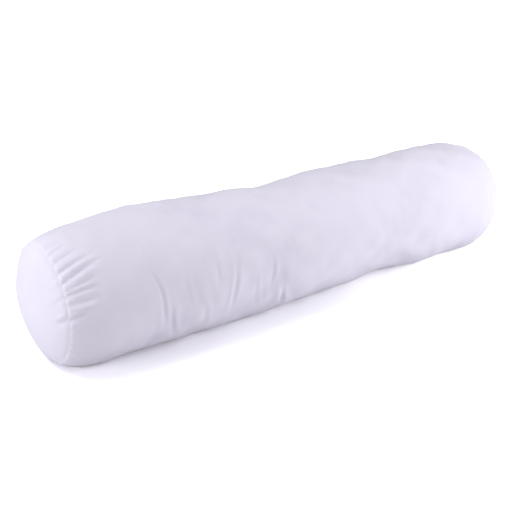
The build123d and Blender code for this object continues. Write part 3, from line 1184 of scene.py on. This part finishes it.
@dataclass
class StitchRow:
    """A row of stitches along a path, made with Geometry Nodes."""

    name: str
    node: str
    runs: list[Array]
    uprights: list[Array]
    pitch: float
    length: float
    height: float
    thread: float
    shape: StitchShape = StitchShape.FLOAT
    turn: float = 0.0

    @staticmethod
    def tree(finish: bpy.types.Material) -> bpy.types.NodeTree:
        """Builds the stitching tree once.

        Args:
            finish: The thread's material.

        Returns:
            The geometry node tree, whose named inputs set the stitch.
        """
        name = f"stitch row in {finish.name}"
        if name in bpy.data.node_groups:
            return bpy.data.node_groups[name]
        tree, b, inp, out = new_group(
            name, "GeometryNodeTree",
            [Port("Path", "NodeSocketGeometry"), Port("Pitch", "NodeSocketFloat", 0.0035),
             Port("Stitch length", "NodeSocketFloat", 0.003),
             Port("Stitch height", "NodeSocketFloat", 0.0004),
             Port("Thread radius", "NodeSocketFloat", 0.0002), Port("Turn", "NodeSocketFloat", 0.0),
             Port("Looped", "NodeSocketBool", False), Port("Seed", "NodeSocketInt", 4)],
            [Port("Stitches", "NodeSocketGeometry")],
        )
        line = b.add("GeometryNodeMeshToCurve", {0: inp.outputs["Path"]})
        spaced = b.add("GeometryNodeResampleCurve", {"Curve": line.outputs[0],
                                                     "Length": inp.outputs["Pitch"]}, mode="LENGTH")
        normal = b.add("GeometryNodeInputNamedAttribute", {"Name": "upright"}, data_type="FLOAT_VECTOR")
        tangent = b.add("GeometryNodeInputTangent")
        aim = b.add("FunctionNodeAlignRotationToVector", {"Vector": tangent.outputs[0]}, axis="X")
        stand = b.add("FunctionNodeAlignRotationToVector", {
            "Rotation": aim.outputs[0], "Vector": normal.outputs["Attribute"]}, axis="Z", pivot_axis="X")
        uneven = b.add("FunctionNodeRandomValue", {2: -0.07, 3: 0.07, "Seed": inp.outputs["Seed"]},
                       data_type="FLOAT")
        swing = b.math("ADD", inp.outputs["Turn"], uneven.outputs[1])
        twist = b.add("FunctionNodeAxisAngleToRotation", {"Axis": (0.0, 0.0, 1.0), "Angle": swing})
        turned = b.add("FunctionNodeRotateRotation", {"Rotation": stand.outputs[0],
                                                      "Rotate By": twist.outputs[0]},
                       rotation_space="LOCAL")
        half = b.math("MULTIPLY", inp.outputs["Stitch length"], 0.5)
        ends = []
        for sign in (-1.0, 1.0):
            ends.append(b.add("ShaderNodeCombineXYZ", {0: b.math("MULTIPLY", half, sign)}).outputs[0])
        crest = b.add("ShaderNodeCombineXYZ", {2: b.math("MULTIPLY", inp.outputs["Stitch height"], 2.0)})
        laid = b.add("GeometryNodeCurveQuadraticBezier", {
            "Resolution": 5, "Start": ends[0], "Middle": crest.outputs[0], "End": ends[1]})
        ring = b.add("GeometryNodeCurvePrimitiveCircle", {"Resolution": 12, "Radius": 1.0})
        stretch = b.add("ShaderNodeCombineXYZ", {0: half, 1: inp.outputs["Stitch height"], 2: 1.0})
        oval = b.add("GeometryNodeTransform", {"Geometry": ring.outputs[0], "Scale": stretch.outputs[0]})
        tipped = b.add("GeometryNodeTransform", {"Geometry": oval.outputs[0],
                                                 "Rotation": (math.pi / 2, 0.0, 0.0)})
        pick = b.add("GeometryNodeSwitch", {"Switch": inp.outputs["Looped"], "False": laid.outputs[0],
                                            "True": tipped.outputs[0]}, input_type="GEOMETRY")
        section = b.add("GeometryNodeCurvePrimitiveCircle", {"Resolution": 5,
                                                             "Radius": inp.outputs["Thread radius"]})
        solid = b.add("GeometryNodeCurveToMesh", {"Curve": pick.outputs[0],
                                                  "Profile Curve": section.outputs[0], "Fill Caps": True})
        many = b.add("GeometryNodeInstanceOnPoints", {
            "Points": spaced.outputs[0], "Instance": solid.outputs[0], "Rotation": turned.outputs[0]})
        real = b.add("GeometryNodeRealizeInstances", {0: many.outputs[0]})
        dressed = b.add("GeometryNodeSetMaterial", {"Geometry": real.outputs[0], "Material": finish})
        b.feed(out, {0: dressed.outputs[0]})
        return tree

    def build(self, finish: bpy.types.Material, slot: str) -> None:
        """Args:
            finish: The thread's material.
            slot: Not used.
        """
        guide = bpy.data.meshes.new("guide")
        edges, start = [], 0
        for run in self.runs:
            edges += [(start + k, start + k + 1) for k in range(len(run) - 1)]
            start += len(run)
        guide.from_pydata(np.concatenate(self.runs).tolist(), edges, [])
        guide.attributes.new("upright", "FLOAT_VECTOR", "POINT").data.foreach_set(
            "vector", np.concatenate(self.uprights).astype(np.float32).reshape(-1))
        carrier = bpy.data.objects.new("guide", guide)
        bpy.context.scene.collection.objects.link(carrier)
        modifier = carrier.modifiers.new("stitches", "NODES")
        modifier.node_group = self.tree(finish)
        values = {"Pitch": self.pitch, "Stitch length": self.length, "Stitch height": self.height,
                  "Thread radius": self.thread / 2, "Turn": self.turn,
                  "Looped": self.shape is StitchShape.LOOP}
        for item in modifier.node_group.interface.items_tree:
            if item.item_type == "SOCKET" and item.in_out == "INPUT" and item.name in values:
                modifier[item.identifier] = values[item.name]
        baked = bpy.data.meshes.new_from_object(
            carrier.evaluated_get(bpy.context.evaluated_depsgraph_get()))
        bpy.data.objects.remove(carrier, do_unlink=True)
        baked.name = self.name
        baked.polygons.foreach_set("use_smooth", [True] * len(baked.polygons))
        row = bpy.data.objects.new(self.name, baked)
        bpy.context.scene.collection.objects.link(row)
        declare(row, self.node)


@dataclass
class Sewing:
    """All the thread: end seams, long seam and the hand-closed filling opening."""

    cover: StuffedCover
    thread: float = 0.36 * MM
    opening: float = 220 * MM

    def end_ring(self, node: str, shrink: float) -> Array:
        """Reads one ring of stitches from its CAD box.

        Args:
            node: The CAD node.
            shrink: How far the ring's line lies inside its box.

        Returns:
            The ring's points in order, closed.
        """
        low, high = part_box(node)
        radius = (high[2] - low[2]) / 2 - shrink
        theta = np.linspace(0, FULL_TURN, 181)
        return self.cover.outline.around((low[0] + high[0]) / 2, radius, theta)

    def sew_ends(self, spun: bpy.types.Material, textured: bpy.types.Material) -> None:
        """Makes the four rows of each end seam.

        Args:
            spun: The sewing thread's material.
            textured: The overlock thread's material.
        """
        for end in End:
            for kind, pitch, length, facing in (("needle", 3.5, 3.1, 1), ("bobbin", 3.5, 3.1, -1),
                                                ("gathering", 9.0, 6.4, -1)):
                node = f"{end.word}_end_{kind}_thread"
                ring = self.end_ring(node, 0.25 * MM)
                upright = np.tile([float(end.value * facing), 0.0, 0.0], (len(ring), 1))
                ring = ring - upright * 0.1 * MM
                StitchRow(f"thread_{end.word}_end_{kind}", node, [ring], [upright], pitch * MM,
                          length * MM, 0.16 * MM, self.thread).build(spun, "sewing_thread")
            node = f"{end.word}_end_overlock"
            ring = self.end_ring(node, 2.0 * MM)
            upright = ring - ring.mean(0)
            upright /= np.linalg.norm(upright, axis=1)[:, None]
            StitchRow(f"thread_{end.word}_end_overlock", node, [ring], [upright], 4.0 * MM, 1.6 * MM,
                      2.2 * MM, self.thread, StitchShape.LOOP,
                      math.pi / 2).build(textured, "overlock_thread")

    def seam_line(self, inset: float, shift: float, keep: Callable[[float], bool]) -> tuple[list, list]:
        """Follows the long seam inside the cover, in its sewn runs.

        Args:
            inset: Distance inwards from the mouth of the seam.
            shift: Distance to one side of the seam's plane.
            keep: Says which stations belong to the rows.

        Returns:
            The runs' points, and the upright of each point.
        """
        turn = math.radians(self.cover.outline.seam_angle)
        out = np.array([0.0, math.cos(turn), math.sin(turn)])
        side = np.array([0.0, -math.sin(turn), math.cos(turn)])
        mouth = (self.cover.panel[:, 0] + self.cover.panel[:, -1]) / 2
        line = mouth - out * inset + side * shift
        runs, current = [], []
        for point in line:
            if keep(float(point[0])):
                current.append(point)
            elif current:
                runs.append(np.array(current))
                current = []
        if current:
            runs.append(np.array(current))
        sign = 1.0 if shift >= 0 else -1.0
        return runs, [np.tile(side * sign, (len(run), 1)) for run in runs]

    def sew_long_seam(self, spun: bpy.types.Material, textured: bpy.types.Material) -> None:
        """Makes the long seam's rows and the stitches that close the filling opening.

        Args:
            spun: The sewing thread's material.
            textured: The overlock thread's material.
        """
        half = self.opening / 2
        reach = self.cover.outline.seam_x - 5 * MM

        def sewn(x: float) -> bool:
            """Tells the two sewn runs from the opening and the ends."""
            return half < abs(x) < reach

        face = self.cover.ply_gap / 2 + self.cover.cloth
        for kind, shift in (("needle", face + 0.08 * MM), ("bobbin", -face - 0.08 * MM)):
            runs, up = self.seam_line(3.7 * MM, shift, sewn)
            StitchRow(f"thread_long_seam_{kind}", f"long_seam_{kind}_thread", runs, up, 3.5 * MM,
                      3.1 * MM, 0.16 * MM, self.thread).build(spun, "sewing_thread")
        runs, _ = self.seam_line(8.4 * MM, 0.0, sewn)
        turn = math.radians(self.cover.outline.seam_angle)
        out = np.array([0.0, math.cos(turn), math.sin(turn)])
        up = [np.tile(out, (len(run), 1)) for run in runs]
        StitchRow("thread_long_seam_overlock", "long_seam_overlock", runs, up, 4.0 * MM, 1.9 * MM,
                  2.2 * MM, self.thread, StitchShape.LOOP, math.pi / 2).build(textured, "overlock_thread")
        runs, _ = self.seam_line(-0.35 * MM, 0.0, lambda x: abs(x) < half)
        up = [np.tile(out, (len(run), 1)) for run in runs]
        StitchRow("thread_closing", "closing_stitches", runs, up, 6.0 * MM, 4.4 * MM, 0.5 * MM,
                  0.5 * MM, StitchShape.FLOAT, math.radians(68)).build(spun, "sewing_thread")


# ---------------------------------------------------------------- label and filling


@dataclass
class CareLabel:
    """A blank folded tape that hangs from the long seam."""

    outline: Outline
    tape: float = 0.28 * MM
    tail: float = 7 * MM
    curl: float = 2.2 * MM

    def build(self, finish: bpy.types.Material) -> None:
        """Makes the label from its sewn-in ends to its folded lower edge.

        Args:
            finish: The tape's material.
        """
        low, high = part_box("care_label")
        turn = math.radians(self.outline.seam_angle)
        out = np.array([math.cos(turn), math.sin(turn)])
        root = np.array([(low[1] + high[1]) / 2, high[2] - (high[1] - low[1]) / 2])
        drop = root[1] - low[2] - 0.8 * MM
        droop = 1.6 * MM
        line = [root - out * t for t in np.linspace(self.tail, 1.4 * MM, 4)]
        bend = root - out * 0.9 * MM
        for t in np.linspace(0.15, 1, 5):
            a, b = bend * (1 - t) + root * t, root * (1 - t) + (root + [0, -droop]) * t
            line.append(a * (1 - t) + b * t)
        for t in np.linspace(0, 1, 15)[1:]:
            line.append(root + np.array([self.curl * math.sin(t * 2.6) * t * 0.5,
                                         -droop - (drop - droop) * t]))
        line = np.array(line)
        width = high[0] - low[0]
        middle = (low[0] + high[0]) / 2
        heading = np.gradient(line, axis=0)
        heading /= np.linalg.norm(heading, axis=1)[:, None]
        normal = np.stack([-heading[:, 1], heading[:, 0]], -1)
        reach = np.concatenate([[0], np.cumsum(np.linalg.norm(np.diff(line, axis=0), axis=1))])
        gap = 0.02 * MM + 0.16 * MM * np.clip((reach - self.tail) / (6 * MM), 0, 1)
        gap[-1] = 0.10 * MM
        front, back = line + normal * gap[:, None], line - normal * gap[:, None]
        nose = line[-1] + heading[-1] * 0.22 * MM
        loop = np.concatenate([front, [nose], back[::-1]])
        along = np.concatenate([[0], np.cumsum(np.linalg.norm(np.diff(loop, axis=0), axis=1))])
        across = np.linspace(-0.5, 0.5, 13)
        points, uv = [], []
        for share in across:
            wave = 0.35 * MM * math.sin(share * 7.0) * smooth(along, self.tail, 30 * MM) \
                * smooth(along[-1] - along, self.tail, 30 * MM)
            ripple = loop + np.stack([wave, np.zeros_like(wave)], -1)
            points.append(np.stack([np.full(len(loop), middle + share * width), *ripple.T], -1))
            uv.append(np.stack([np.full(len(loop), share * width), along], -1))
        faces = grid_faces(len(points), len(loop), False)
        label = mesh_object("care_label_tape", np.concatenate(points), faces, np.concatenate(uv))
        wall = label.modifiers.new("tape", "SOLIDIFY")
        wall.thickness = self.tape
        wall.offset = 1.0
        label.data.materials.append(finish)
        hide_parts("care_label")
        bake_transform(label)
        LOG.info("label: %d faces", len(label.data.polygons))


@dataclass
class Filling:
    """The rolled wadding and the loose fibre of both ends."""

    cover: StuffedCover
    clearance: float = 1.9 * MM
    sheet: float = 27 * MM
    slit: float = 0.9 * MM
    core: float = 0.3 * MM

    def inner_radius(self, x: Array, theta: Array) -> Array:
        """Finds how far the filling may reach from the axis, inside the folded cover.

        Args:
            x: Stations, in metres.
            theta: Angles in radians.

        Returns:
            Radii in metres, stations by angles.
        """
        o = self.cover.outline
        panel = self.cover.panel
        rows = panel[:, :, 0].mean(1)
        radial = np.hypot(panel[..., 1], panel[..., 2] - o.axis_z)
        start = self.cover.theta[0]
        place = (theta - start) % (FULL_TURN)
        grid = self.cover.theta - start
        at_rows = np.stack([np.interp(place, grid, row) for row in radial])
        smoothed = at_rows.copy()
        for _ in range(2):
            smoothed[1:-1] = np.minimum(smoothed[1:-1], (smoothed[:-2] + smoothed[2:]) / 2)
        return np.stack([np.interp(x, rows, column) for column in smoothed.T], 1) - self.clearance

    def build_roll(self, finish: bpy.types.Material) -> None:
        """Makes the wadding: a thick soft sheet rolled up along the pillow.

        Args:
            finish: The fibre's material.
        """
        o = self.cover.outline
        low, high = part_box("wadding_roll")
        stations = np.linspace(low[0], high[0], 60)
        turns = o.radius / self.sheet
        seam = math.radians(o.seam_angle)
        beside = np.array([-4.6, -2.6, -2.1, 0.0, 2.1, 2.6, 4.6]) * MM / o.radius
        round_once = np.concatenate([beside, np.linspace(beside[-1], FULL_TURN + beside[0], 64)[1:-1]])
        phi = np.concatenate([round_once + seam + FULL_TURN * k for k in range(1, int(turns) + 2)])
        phi = phi[phi < FULL_TURN * (turns + 0.9)]
        theta = phi % (FULL_TURN)
        reach = self.inner_radius(stations, theta)
        off_seam = np.abs((theta - seam + math.pi) % (FULL_TURN) - math.pi) * o.radius
        notch = (self.cover.allowance + 2.5 * MM) * (off_seam < 2.3 * MM)
        outer = reach * np.minimum(phi / (FULL_TURN * turns), 1.0)[None, :]
        outer = np.minimum(outer, reach - notch[None, :])
        inner = np.minimum(reach * np.maximum((phi / (FULL_TURN) - 1) / turns, 0.0) + self.slit,
                           outer - 0.6 * self.slit)
        inner = np.maximum(inner, self.core)
        wool = Wave(41, 0.4 * MM, (2, 9), (0.03, 0.12)).at(stations[:, None], theta[None, :])
        edge = smooth(np.minimum(stations - stations[0], stations[-1] - stations), 0, 14 * MM)[:, None]
        section = []
        for radius in (outer - np.abs(wool) - (1 - edge) * 3.0 * MM, inner):
            radius = np.maximum(radius, self.core)
            section.append(o.around(stations[:, None], radius, theta))
        ring = np.concatenate([section[0], section[1][:, ::-1]], 1)
        ring[..., 2] = np.maximum(ring[..., 2], low[2] + 0.4 * MM)
        rows, count = ring.shape[:2]
        faces = grid_faces(rows, count, True)
        half = count // 2
        for row, flip in ((0, True), (rows - 1, False)):
            for j in range(half - 1):
                quad = (row * count + j, row * count + j + 1, row * count + count - 2 - j,
                        row * count + count - 1 - j)
                faces.append(quad[::-1] if flip else quad)
        roll = mesh_object("filling_wadding_roll", ring.reshape(-1, 3), faces)
        declare(roll, "wadding_roll", finish)

    def build_end(self, end: End, finish: bpy.types.Material) -> None:
        """Makes the loose fibre that rounds out one end.

        Args:
            end: The end to fill.
            finish: The fibre's material.
        """
        o = self.cover.outline
        low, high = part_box(f"{end.word}_end_fill")
        base = min(abs(low[0]), abs(high[0]))
        step = o.seam_x + 2.0 * MM
        neck = o.seam_radius - self.cover.allowance - 1.0 * MM
        columns = 72
        theta = np.arange(columns) * FULL_TURN / columns
        rows = []
        for share in np.linspace(0.02, 1.0, 9):
            rows.append((np.full(columns, base), np.full(columns, neck * share)))
        rows.append((np.full(columns, step), np.full(columns, neck)))
        brim = o.seam_radius - 5.5 * MM
        rows.append((np.full(columns, step + 0.2 * MM), np.full(columns, (neck + brim) / 2)))
        for radius in np.concatenate([[brim], np.linspace(brim - 2 * MM, 1.5 * MM, 22)]):
            dome, _ = self.cover.cap_surface(end, np.full(columns, radius), theta)
            face = np.abs(dome[:, 0]) - self.clearance
            rows.append((np.maximum(face, step + 0.3 * MM), np.full(columns, radius)))
        points = []
        for k, (x, r) in enumerate(rows):
            wool = 0.25 * MM * np.sin(theta * 9 + k * 1.7) * (1 if 1 < k < len(rows) - 2 else 0)
            points.append(o.around(end.value * x, r - np.abs(wool), theta))
        faces = grid_faces(len(rows), columns, True)
        faces.append(tuple(range(columns))[::-1])
        faces.append(tuple((len(rows) - 1) * columns + j for j in range(columns)))
        if end is End.NEAR:
            faces = [f[::-1] for f in faces]
        plug = mesh_object(f"filling_{end.word}_end", np.concatenate(points), faces)
        declare(plug, f"{end.word}_end_fill", finish)


# ---------------------------------------------------------------- studio


def aim_at(name: str, data: bpy.types.ID, place: Spot, aim: Spot) -> bpy.types.Object:
    """Places a lamp or camera so that it looks at a point.

    Args:
        name: The object's name.
        data: The lamp's or camera's data.
        place: Where it stands.
        aim: What it looks at.

    Returns:
        The new object.
    """
    made = bpy.data.objects.new(name, data)
    made.location = place
    made.rotation_euler = (Vector(aim) - Vector(place)).to_track_quat("-Z", "Y").to_euler()
    bpy.context.scene.collection.objects.link(made)
    return made


@dataclass
class Lamp:
    """One soft box."""

    name: str
    place: Spot
    aim: Spot
    size: tuple[float, float]
    power: float

    def build(self) -> None:
        """Makes the lamp and turns it to its aim."""
        data = bpy.data.lights.new(self.name, "AREA")
        data.shape = "RECTANGLE"
        data.size, data.size_y = self.size
        data.energy = self.power
        aim_at(self.name, data, self.place, self.aim)


@dataclass
class Studio:
    """Camera, floor, backdrop and lamps."""

    camera_place: Spot = (-0.9431, -1.1467, 0.6487)
    camera_aim: Spot = (-0.0745, 0.0, 0.0867)
    lens: float = 61.4
    ambient: float = 0.27
    floor_shade: float = 1.55
    floor_glow: tuple[float, float] = (0.0, 1.1)
    lamps: list[Lamp] = field(default_factory=lambda: [
        Lamp("left box", (-2.3, 0.1, 0.55), (-0.5, 0.0, 0.1), (1.0, 0.9), 16.2),
        Lamp("left high box", (-1.2, 0.2, 1.8), (-0.5, 0.0, 0.1), (0.9, 0.9), 12.5),
        Lamp("right box", (1.05, -1.25, 0.75), (0.5, 0.0, 0.1), (0.9, 0.8), 7.0),
        Lamp("right low box", (1.3, -1.4, 0.35), (0.5, 0.0, 0.1), (0.9, 0.5), 12.0),
        Lamp("top box", (0.4, 0.5, 2.2), (0.1, 0.0, 0.0), (2.4, 1.6), 10.8)])

    def build(self) -> None:
        """Sets up everything round the pillow."""
        data = bpy.data.cameras.new("camera")
        data.lens = self.lens
        data.sensor_width = 36.0
        bpy.context.scene.camera = aim_at("camera", data, self.camera_place, self.camera_aim)
        bpy.context.scene.view_settings.view_transform = "Standard"
        for lamp in self.lamps:
            lamp.build()
        self._backdrop()
        self._floor()

    def _backdrop(self) -> None:
        """Makes the surroundings: white to the camera, and a plain soft light on the pillow."""
        world = bpy.data.worlds.new("studio")
        bpy.context.scene.world = world
        world.use_nodes = True
        b = TreeBuilder(world.node_tree)
        path = b.add("ShaderNodeLightPath").outputs
        shown = b.math("MAXIMUM", path["Is Camera Ray"], path["Is Glossy Ray"])
        b.feed(world.node_tree.nodes["Background"],
               {0: b.mix(shown, (0.97, 0.97, 1.03), (1, 1, 1)), 1: b.span(shown, self.ambient, 1.0)})

    def _floor(self) -> None:
        """Makes the pale floor, which keeps the pillow's soft shadow."""
        side = 30
        corners = np.array([[-side, -side, 0], [side, -side, 0], [side, side, 0], [-side, side, 0]])
        floor = mesh_object("floor", corners, [(0, 1, 2, 3)])
        floor.location.z = -0.4 * MM
        b = Surface("pale floor", Roughness=0.9, Specular_IOR_Level=0.0)
        seen = b.add("ShaderNodeLightPath").outputs["Is Camera Ray"]
        b.feed(b.shader, {"Base Color": b.span(seen, 0.8, self.floor_shade)})
        moved = b.add("ShaderNodeVectorMath", {0: b.place(), 1: (0.3, 0.0, 0.0)}, operation="ADD")
        flat = b.add("ShaderNodeVectorMath", {0: moved.outputs[0], 1: (0.6, 1.0, 0.0)},
                     operation="MULTIPLY")
        reach = b.add("ShaderNodeVectorMath", {0: flat.outputs[0]}, operation="LENGTH").outputs["Value"]
        far = b.span(reach, *self.floor_glow, 0.2, 1.2)
        glow = b.add("ShaderNodeEmission", {1: b.math("MULTIPLY", seen, far)})
        both = b.add("ShaderNodeAddShader", {0: b.shader.outputs[0], 1: glow.outputs[0]})
        b.feed(b.tree.nodes["Material Output"], {0: both.outputs[0]})
        floor.data.materials.append(b.material)


def main() -> None:
    """Builds the studio and every piece of the pillow."""
    logging.basicConfig(level=logging.INFO, format="%(name)s: %(message)s")
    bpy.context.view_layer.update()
    Studio().build()
    outline = Outline()
    cover = StuffedCover(outline)
    cover.build(CoverCloth().make())
    spun = SewingThread().make()
    textured = SewingThread("overlock thread", (0.80, 0.80, 0.83), (0.60, 0.60, 0.66), 500.0,
                            0.75).make()
    sewing = Sewing(cover)
    sewing.sew_ends(spun, textured)
    sewing.sew_long_seam(spun, textured)
    CareLabel(outline).build(LabelTape().make())
    filling = Filling(cover)
    fibre = CardedFibre().make()
    filling.build_roll(fibre)
    for end in End:
        filling.build_end(end, fibre)


if __name__ == "__main__":
    main()
